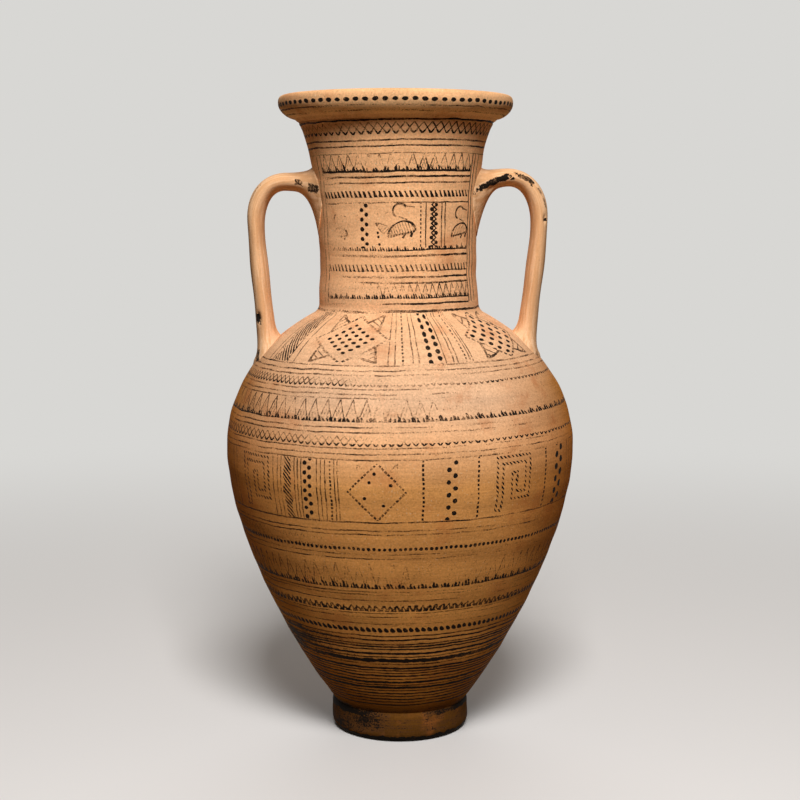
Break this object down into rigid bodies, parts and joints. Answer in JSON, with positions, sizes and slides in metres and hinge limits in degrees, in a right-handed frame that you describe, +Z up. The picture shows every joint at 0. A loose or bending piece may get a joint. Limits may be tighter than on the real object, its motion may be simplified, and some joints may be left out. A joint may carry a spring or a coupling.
{
  "type": "geometric amphora",
  "caption": "Tall neck-amphora of painted terracotta: ring foot, broad belly, sloping shoulder, tall neck, moulded lip and two vertical handles, with banded geometric ornament.",
  "frame": {"origin": "centre of the flat ring that the jar stands on", "axes": "+Z up along the axis that the jar was thrown on, -Y to the front, the handles on +X and -X"},
  "size_m": [0.3292, 0.3292, 0.6],
  "materials": {
    "foot_clay": "orange clay under worn brown-black slip at the top and the lower edge",
    "belly_clay": "smoothed orange-tan clay with banded brown-black painted ornament",
    "shoulder_clay": "smoothed orange-tan clay with painted stars, checkers and triangles",
    "neck_clay": "smoothed orange-tan clay with painted bands and a panel of birds",
    "lip_clay": "smoothed orange-tan clay with a row of painted dots",
    "handle_clay": "plain smoothed clay with traces of worn black paint"
  },
  "bodies": {
    "root": {"foot_ring": "foot_clay", "lower_belly": "belly_clay", "upper_belly": "shoulder_clay", "neck": "neck_clay", "mouth_rim": "lip_clay", "handle_left": "handle_clay", "handle_right": "handle_clay"}
  },
  "joints": []
}
